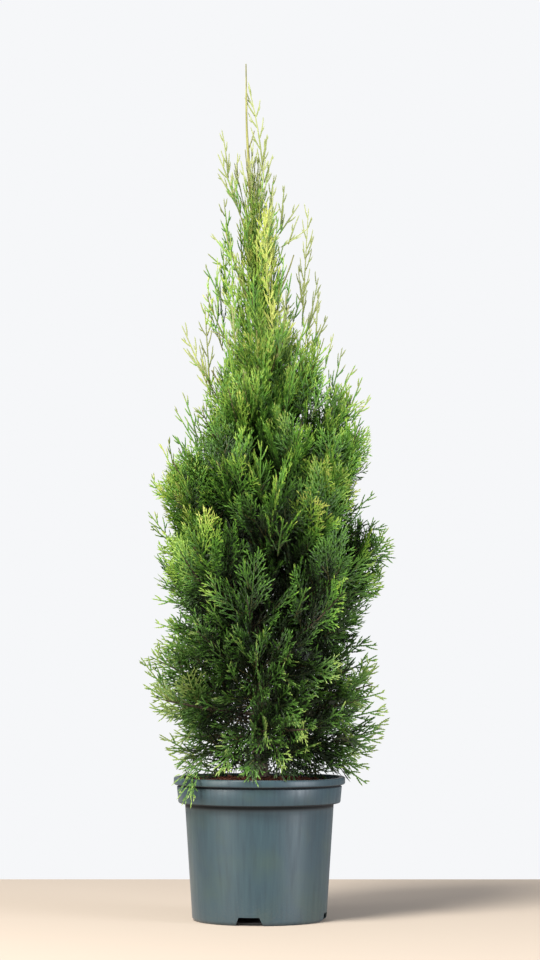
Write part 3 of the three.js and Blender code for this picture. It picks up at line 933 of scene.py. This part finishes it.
# Low sprays that hang over the lip: bearing in degrees, length in millimetres, and extra tone.
OVERHANGS = {"from": 68, "level": 262, "fall": -8, "droop": 0.0048, "inward": 0.0029, "sprays": [
    (221, 115, -0.32), (243, 70, -0.1), (266, 84, -0.15), (284, 76, -0.5), (334, 74, -0.5),
    (352, 84, -0.3), (28, 76, -0.2), (95, 92, -0.2), (150, 84, -0.2), (186, 72, -0.2)]}

chance = chances(77)
level, k = TRUNK_SPRAYS["from"], 0
while level < TRUNK_SPRAYS["to"]:
    out = outward(k * GOLDEN_ANGLE + chance(-20, 20))
    rise = math.radians(by_height(TRUNK_RISE, level) + chance(-8, 8))
    way = swung(out, UPWARD, rise)
    rows.append(spray_row(trunk_centre(level), way, chance, TRUNK_SPRAYS["longest"]))
    level, k = level + by_height(TRUNK_APART, level), k + 1

for bearing, run, tone in OVERHANGS["sprays"]:
    out, fall = outward(bearing), math.radians(OVERHANGS["fall"])
    way = swung(out, UPWARD, fall)
    flat = unit(np.cross(UPWARD, way) + [0, 0, chance(-0.4, 0.4)])
    bend = np.array([0, 0, -OVERHANGS["droop"]]) - out * OVERHANGS["inward"]
    foot = out * OVERHANGS["from"] + [0, 0, OVERHANGS["level"]]
    rows.append((foot, way, bend, flat, run, 0.0, tone))
print("sprays with those of the trunk", len(rows))

# %% [markdown]
# Slim shoots stand clear of the rest. They give the crown its ragged outline and its forked top.
# The ones that are seen against the sky from the front are placed one by one, by foot and tip.
# Others are set by rule at every bearing, so that the plant looks alike from all sides. A sheaf of
# this year's shoots, much lighter, lies on the front of the upper crown.

# %% Leading shoots
# Foot and tip, as x, z, x, z.
LEADING = [
    (-12, 1090, -10, 1180), (-4, 1095, -2, 1165), (2, 1080, 8, 1150), (-20, 1110, -28, 1150),
    (6, 1125, -16, 1266), (7, 1119, 21, 1165), (13, 1064, 22, 1133), (32, 1049, 38, 1113),
    (-36, 1086, -66, 1167), (-48, 1125, -57, 1196), (-40, 1098, -34, 1167), (-31, 1080, -65, 1139),
    (30, 1043, 59, 1087), (44, 1022, 59, 1064), (33, 1018, 70, 1043), (65, 900, 75, 1080),
    (71, 884, 93, 991), (71, 890, 94, 958), (84, 860, 88, 927), (74, 855, 103, 912),
    (100, 835, 112, 883), (41, 930, 48, 974), (-42, 1000, -71, 1037), (-45, 985, -77, 1011),
    (-55, 935, -87, 1002), (-75, 790, -84, 929), (-74, 793, -119, 900), (-81, 820, -113, 860),
    (-94, 722, -116, 794), (-90, 700, -127, 768), (-98, 690, -130, 730), (-124, 660, -150, 716),
    (-128, 664, -139, 724), (105, 780, 126, 864), (110, 770, 148, 842), (130, 752, 155, 816),
    (140, 750, 175, 796)]
# The same for the leafy sprays whose tips make the outline lower down.
SKYLINE = [
    (138, 288, 200, 294), (126, 266, 185, 272), (123, 246, 176, 254), (120, 237, 168, 228),
    (123, 231, 160, 206), (131, 327, 193, 344), (141, 350, 178, 380), (138, 548, 203, 545),
    (130, 575, 190, 592), (131, 491, 190, 497), (134, 411, 181, 413), (138, 610, 172, 640),
    (-100, 250, -148, 277), (-98, 246, -140, 256), (-96, 243, -134, 239), (-136, 340, -176, 391),
    (-128, 326, -172, 352), (-118, 306, -163, 318), (-108, 428, -155, 446), (-112, 474, -158, 482),
    (-128, 560, -167, 612), (-126, 620, -166, 664), (62, 742, 84, 828), (78, 752, 100, 818),
    (70, 722, 96, 790), (52, 760, 76, 846), (110, 300, 190, 318), (110, 272, 188, 284),
    (116, 366, 174, 396)]
# Each list with its wiriness, and how much nearer the viewer than the trunk's middle it is.
PLACED = (LEADING, 0.95, 0), (SKYLINE, 0.3, 17)
DEPTH = -26, 22
# Free shoots, by height: how far apart, shortest, longest, lean from upright, wiriness, and how
# near the trunk some of them end, as a share of the crown's reach.
FREE = np.array([
    [225, 6, 46, 80, 82, 0.3, 0.85], [450, 7, 50, 84, 52, 0.3, 0.85],
    [690, 9, 50, 100, 26, 0.7, 0.8], [880, 7.5, 50, 105, 16, 0.8, 0.5],
    [1060, 7.5, 50, 105, 12, 0.85, 0.4], [1150, 14, 50, 90, 10, 0.9, 0.6]])
FREE_REACH = {"inside_outline": 4, "past_dense": 26}
CLEAR_TONE = -0.12
SHEAF = {"from": 815, "to": 1015, "every": 26, "right": 14, "front": -38, "run": 92, "tone": 0.24}


def shoot_row(foot, tip, chance, wiry, tone=0.0):
    """A shoot from foot to tip, bowed a little, that branches across the view."""
    chord = tip - foot
    run = np.linalg.norm(chord)
    bend = unit(np.array([chord[2], chance(-20, 20), -chord[0]])) * chance(-0.0011, 0.0011)
    turn = chance(-0.7, 0.7)
    side = np.cross(chord / run, [math.sin(turn), math.cos(turn), 0])
    return foot, chord / run - bend * run, bend, unit(side), run, wiry, tone


chance = chances(78)
for placed, wiry, nearer in PLACED:
    for foot_x, foot_z, tip_x, tip_z in placed:
        depth = chance(*DEPTH) - nearer
        foot = np.array([foot_x, depth, foot_z])
        tip = np.array([tip_x, depth + chance(-8, 8), tip_z])
        rows.append(shoot_row(foot, tip, chance, wiry, CLEAR_TONE))
level, k = FREE[0, 0], 0
while level < FREE[-1, 0]:
    apart, least, most, lean, wiry, near = (
        np.interp(level, FREE[:, 0], column) for column in FREE.T[1:])
    bearing = 57 + k * GOLDEN_ANGLE
    reach = min(crown_reach(level, bearing) - FREE_REACH["inside_outline"],
                dense_reach(level, bearing) + FREE_REACH["past_dense"])
    tip = trunk_centre(level) + outward(bearing) * reach * chance(near, 1)
    lean, run = math.radians(lean + chance(-8, 8)), chance(least, most)
    foot = tip - run * swung(UPWARD, outward(bearing), lean)
    rows.append(shoot_row(foot, tip, chance, wiry, CLEAR_TONE))
    level, k = level + apart * 1, k + 1
for level in np.arange(SHEAF["from"], SHEAF["to"], SHEAF["every"]):
    foot = trunk_centre(level) + [
        SHEAF["right"] + chance(-12, 12), SHEAF["front"] + chance(-8, 8), 0]
    tip = foot + [chance(-8, 8), 10, SHEAF["run"] * chance(0.8, 1.1)]
    rows.append(shoot_row(foot, tip, chance, 0.6, SHEAF["tone"]))

rows = [row for row in rows if row[4] > graded(row[0][2], "shortest")]
start, way, bend, side, length, wiry, tone = (np.array(column) for column in zip(*rows))
print("sprays in all", len(length), "mean length", round(float(length.mean())), "mm")

# %% [markdown]
# A tone is a number from 0 for the deepest green to 1 for the yellow-green of new growth, and picks
# a plain colour at the end. Each spray is dealt one by chance, and a few are this year's and
# lighter. Each of its shoots adds what its own place gives: dark near the trunk and light out on
# the crown's outline, which is partly older and younger foliage and partly painted shade, and a
# little lighter on the left side, which is painted light.

# %% Tones for the sprays
YOUNG = {"share": 0.11, "lighter": 0.11, "from": 480}
WIDTH = {"leafy": 2.7, "wiry": 3.0}
LOW_WIDER = [(320, 1.22), (620, 1)]

rng = np.random.default_rng(20)
count = len(length)
young = (rng.random(count) < YOUNG["share"]) & (start[:, 2] > YOUNG["from"])
dealt = rng.normal(0, 0.06, count) + YOUNG["lighter"] * young
width = WIDTH["leafy"] + (WIDTH["wiry"] - WIDTH["leafy"]) * wiry
width = width * by_height(LOW_WIDER, start[:, 2])
sprays = Shoots(start, way, bend, side, length, wiry, tone + dealt, width)


# Tones at the trunk and on the outline, and how much lighter painted light makes the left side, by
# height.
INNER_TONE = [(230, 0.17), (450, 0.10), (650, 0.24), (800, 0.52), (1000, 0.62), (1260, 0.46)]
OUTER_TONE = [(230, 0.86), (350, 0.83), (450, 0.70), (650, 0.69), (850, 0.66), (1000, 0.55),
              (1260, 0.47)]
PAINTED_LIGHT = [(230, 0.05), (400, 0.06), (700, 0.05), (900, 0.0)]
PAINTED_LIGHT_BEARING = 190


def placed_tone(points):
    level = points[:, 2]
    away, bearing = from_trunk(points)
    openness = np.clip(away / np.maximum(crown_reach(level, bearing), 30), 0, 1)
    # Painted light: sprays on the left side, towards bearing 190 degrees, are made lighter.
    painted_light_side = np.cos(np.radians(bearing - PAINTED_LIGHT_BEARING))
    inner, outer = by_height(INNER_TONE, level), by_height(OUTER_TONE, level)
    # Darker towards the trunk and lighter out on the outline: partly older and younger foliage,
    # partly painted shade.
    return inner + (outer - inner) * openness ** 3 + by_height(PAINTED_LIGHT, level) * painted_light_side


print("dealt tones", round(float(dealt.min()), 2), "to", round(float(dealt.max()), 2))

# %% Branching in the plane
# Low down side shoots stand further apart. Wiry ones do too, and they are shorter and more upright.
LOW_COARSER = [(320, 1.35), (620, 1)]
WIRY_SHOOTS = {"apart": 2.2, "upright": 0.35, "short": 0.42}
# How much chance moves a shoot along, turns it, tips it out of the plane and changes its tone.
CHANCE = {"along": 0.14, "turn": 4.5, "tilt": 0.11, "length": (0.78, 1.12), "tone": 0.03}
TIPWARD, THINNER = 0.16, 0.92  # lighter towards the parent's tip, and thinner than the parent


def side_shoots(parents, first, pitch, spread, size, least, most, forward):
    """Alternate side shoots, the first of them at a share of the parent's length.

    size is a list of (place on the parent, share of its length), and spread is in degrees.
    """
    coarse = by_height(LOW_COARSER, parents.start[:, 2])
    rows, order, run = spaced(parents.length * 0.97, parents.length * first,
                              pitch * coarse * (1 + WIRY_SHOOTS["apart"] * parents.wiry))
    wiry, count = parents.wiry[rows], len(run)
    run = run + rng.uniform(-CHANCE["along"], CHANCE["along"], count) * pitch
    place = run / parents.length[rows]
    point, tangent, side = parents.at(rows, run)
    normal = np.cross(tangent, side)
    hand = np.where((order + rows) % 2, 1.0, -1.0)[:, None]
    angle = spread * (1 - WIRY_SHOOTS["upright"] * wiry) + rng.normal(0, CHANCE["turn"], count)
    angle = np.radians(angle)[:, None]
    tilt = rng.normal(0, CHANCE["tilt"], count)[:, None]
    way = unit(tangent * np.cos(angle) + side * hand * np.sin(angle) + normal * tilt)
    share = by_height(size, place) * (1 - WIRY_SHOOTS["short"] * wiry)
    length = np.minimum(parents.length[rows] * share * rng.uniform(*CHANCE["length"], count), most)
    bend = unit(tangent - way * np.sum(tangent * way, axis=1, keepdims=True))
    bend = bend * (forward / np.maximum(length, 4))[:, None]
    tone = parents.tone[rows] + TIPWARD * (place - 0.5) + rng.normal(0, CHANCE["tone"], count)
    made = Shoots(point, way, bend, unit(np.cross(normal, way)), length, wiry, tone,
                  parents.width[rows] * THINNER)
    return made.pick(length > least)


FORKED_FROM = 55

forks = side_shoots(
    sprays.pick(sprays.length > FORKED_FROM), first=0.16, pitch=25, spread=30,
    size=[(0, 0.6), (0.3, 0.62), (0.6, 0.42), (1, 0.2)], least=22, most=66, forward=0.10)
fronds = bundle(sprays, forks)
print("fronds", len(fronds.length))

# %% Branchlets and their side branchlets
branchlets = side_shoots(
    fronds, first=0.10, pitch=5.4, spread=40, least=6, most=34, forward=0.14,
    size=[(0, 0.28), (0.15, 0.40), (0.4, 0.39), (0.75, 0.29), (1, 0.14)])
side_branchlets = side_shoots(
    branchlets, first=0.42, pitch=8.2, spread=34, least=4, most=10, forward=0.12,
    size=[(0, 0.34), (0.5, 0.34), (0.8, 0.26), (1, 0.16)])
print("branchlets", len(branchlets.length), "side branchlets", len(side_branchlets.length))

# %% [markdown]
# ## Scale leaves
#
# Seen close, each shoot is a chain of flattened scales that overlap like roof tiles. One scale is a
# small rhomb of two faces, folded along its middle, which lies on the shoot and lifts at its tip.
# Neighbours are rolled a little to left and right in turn, so that they catch the light
# differently.

# %% Chains of scales
SCALE = {"pitch": 3.8, "long": 6.8, "waist": 0.42, "lift": 0.10, "fold": 0.35, "roll": 0.30}
WIRY_SCALES = {"closer": 0.28, "flatter": 0.6, "lighter": 0.16}
TIP_LIGHTER = 0.26
# No scale stands further outside the crown's outline, or the solid model's box, than this.
TRIM = {"outline": 4, "box": 8}
# The lower a scale is, the less yellow it can be.
LIGHTEST = [(450, 0.77), (640, 0.80), (800, 1.2)]


def scale_chain(shoots):
    """Corners of the scales, shoot by shoot, and the tone of each."""
    rows, order, run = spaced(shoots.length, np.full(len(shoots.length), 0.3),
                              SCALE["pitch"] * (1 - WIRY_SCALES["closer"] * shoots.wiry))
    point, tangent, side = shoots.at(rows, run)
    normal = np.cross(tangent, side)
    roll = np.where(order % 2, 1, -1) * SCALE["roll"] + rng.normal(0, 0.15, len(run))
    roll = (roll * (1 - WIRY_SCALES["flatter"] * shoots.wiry[rows]))[:, None]
    side, normal = (side * np.cos(roll) + normal * np.sin(roll),
                    normal * np.cos(roll) - side * np.sin(roll))
    taper = np.clip(1.15 - 0.45 * run / shoots.length[rows], 0.6, 1.0)
    half = (shoots.width[rows] * taper / 2)[:, None]
    long, waist = SCALE["long"], SCALE["waist"]
    corners = np.stack([
        point - tangent * 0.2 * long,
        point + tangent * waist * long + side * half,
        point + tangent * long + normal * SCALE["lift"] * long,
        point + tangent * waist * long - side * half], axis=1)
    corners[:, 1::2] -= (normal * SCALE["fold"] * half)[:, None]
    middle = shoots.start + shoots.way * shoots.length[:, None] / 2
    tone = (shoots.tone + placed_tone(middle) + WIRY_SCALES["lighter"] * shoots.wiry)[rows]
    return corners, tone + TIP_LIGHTER * (run / shoots.length[rows] - 0.55)


chains = [scale_chain(group) for group in (fronds, branchlets, side_branchlets)]
corners, tones = (np.concatenate(group) for group in zip(*chains))
middles = corners.mean(axis=1)
away, bearing = from_trunk(middles)
inside = (away < crown_reach(middles[:, 2], bearing) + TRIM["outline"]) & (
    middles[:, 2] < TRUNK_LINE[-1, 0] - 2)
lowest, highest = (np.array(corner)[:2] / MM for corner in CAD_BOX)
inside &= np.all((corners[..., :2] > lowest - TRIM["box"])
                 & (corners[..., :2] < highest + TRIM["box"]), axis=(1, 2))
corners, tones = corners[inside], tones[inside]
tones = np.minimum(tones, by_height(LIGHTEST, corners[:, 0, 2]))
print("scales", len(corners), "tones", np.round(np.percentile(tones, [5, 25, 50, 75, 95]), 2))

# %% [markdown]
# Thuja scales have a thin coat of wax, which gives all of them the same satin. Plain colours are
# dealt out by tone: six greens, from deep bottle green to the yellow-green of new tips, and three
# olives for the shoots that stand clear of the dense foliage high up, or round the leader. Low down
# the lighter greens give way to two greyer ones.

# %% Pieces of foliage
GREENS = ["#18240e", "#2c431e", "#436a24", "#5c8b2d", "#85a63d", "#acb656"]
LIMITS = [0.17, 0.31, 0.46, 0.60, 0.79]
OLIVES = ["#66763a", "#869252", "#9ba36b"]
OLIVE_LIMITS = [0.42, 0.64]
GREYED = ["#5b7f37", "#869d50"]
LIGHT = 3  # the first of the lighter greens
# Where olives and greyed greens begin, as bands of height that chance picks from.
CLEAR_FROM, LEADER_FROM, GREYED_BELOW = (740, 880), (1070, 1140), (380, 520)
STANDS_CLEAR = 4
OLIVE_LIGHTER = [(900, 0), (1150, 0.07)]
MOST_TRIANGLES = 190000
FOLIAGE_NODES = [f"foliage_{i + 1:02d}" for i in range(LIMBS["count"])]


def foliage_piece(name, corners, material):
    numbers = 4 * np.arange(len(corners))[:, None]
    triangles = np.concatenate([numbers + [0, 1, 2], numbers + [0, 2, 3]])
    piece = new_object(name, mesh_of(name, corners.reshape(-1, 3), triangles))
    piece.data.materials.append(material)
    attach(piece, "root")
    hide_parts(*FOLIAGE_NODES)
    return len(triangles)


def above(band):
    return level > rng.uniform(*band, len(level))


green_of = np.digitize(tones, LIMITS)
middles = corners.mean(axis=1)
level = middles[:, 2]
away, bearing = from_trunk(middles)
clear = away - dense_reach(level, bearing) > STANDS_CLEAR
slim = (clear & above(CLEAR_FROM)) | above(LEADER_FROM)
olive = np.digitize(tones + by_height(OLIVE_LIGHTER, level), OLIVE_LIMITS)
green_of[slim] = len(GREENS) + olive[slim]
greyed = (level < rng.uniform(*GREYED_BELOW, len(level))) & (green_of >= LIGHT)
green_of[greyed] = len(GREENS + OLIVES) + (green_of[greyed] > LIGHT)
for number, colour in enumerate(GREENS + OLIVES + GREYED):
    chosen = corners[green_of == number]
    material, _, _ = new_material(f"waxy scale leaf, green {number + 1}", {
        "Base Color": linear(colour), "Roughness": 0.5, "Specular IOR Level": 0.45})
    parts = max(1, math.ceil(2 * len(chosen) / MOST_TRIANGLES))
    chosen = chosen[np.argsort(chosen[:, 0, 2])]
    for part, some in enumerate(np.array_split(chosen, parts)):
        count = foliage_piece(f"scales_{number + 1}_{part + 1}", some, material)
        print(f"green {number + 1}, part {part + 1}: {count} triangles")

# %% [markdown]
# ## Twigs
#
# Under the scales each spray has a thin woody axis, the olive-brown of one-year wood. It shows only
# near the limb, where the scales are thin, so three sides are enough.

# %% Spray axes
def twigs(shoots, stations, thick, thin, upto):
    """A three-sided stick along each shoot, up to a share of its length."""
    everyone = np.arange(len(shoots.length))
    rings = []
    for share in np.linspace(0, upto, stations):
        point, tangent, side = shoots.at(everyone, shoots.length * share)
        over = np.cross(tangent, side)
        radius = thick + (thin - thick) * share
        for turn in (0, 2 * math.pi / 3, 4 * math.pi / 3):
            rings.append(point + swung(side, over, turn) * radius)
    points = np.stack(rings, axis=1)
    faces = []
    for ring in range(stations - 1):
        for k in range(3):
            a, b = 3 * ring + k, 3 * ring + (k + 1) % 3
            faces += [[a, b, b + 3], [a, b + 3, a + 3]]
    faces += [[0, 2, 1], [3 * stations - 3, 3 * stations - 2, 3 * stations - 1]]
    triangles = np.array(faces)[None] + (3 * stations * everyone)[:, None, None]
    return points.reshape(-1, 3), triangles.reshape(-1, 3)


points, triangles = twigs(fronds, stations=4, thick=0.75, thin=0.4, upto=0.4)
twig_piece = new_object("twigs", mesh_of("twigs", points, triangles))
young_bark = stringy_bark(
    "one-year thuja wood", [(0.35, "#3b331b"), (0.5, "#5a512d"), (0.68, "#7c7044")])
twig_piece.data.materials.append(young_bark)
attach(twig_piece, "root")
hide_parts(*FOLIAGE_NODES)
print("twig triangles", len(triangles))

# %% [markdown]
# ## Finish
#
# The dressed model's box is worked out and printed, as the solid model's box was at the start.
# The dressed model has to stay close to the solid model's box.

# %% Boxes and finish
visual_box = [list(corner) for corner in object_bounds()]
print("dressed box:", [[round(v, 3) for v in corner] for corner in visual_box])
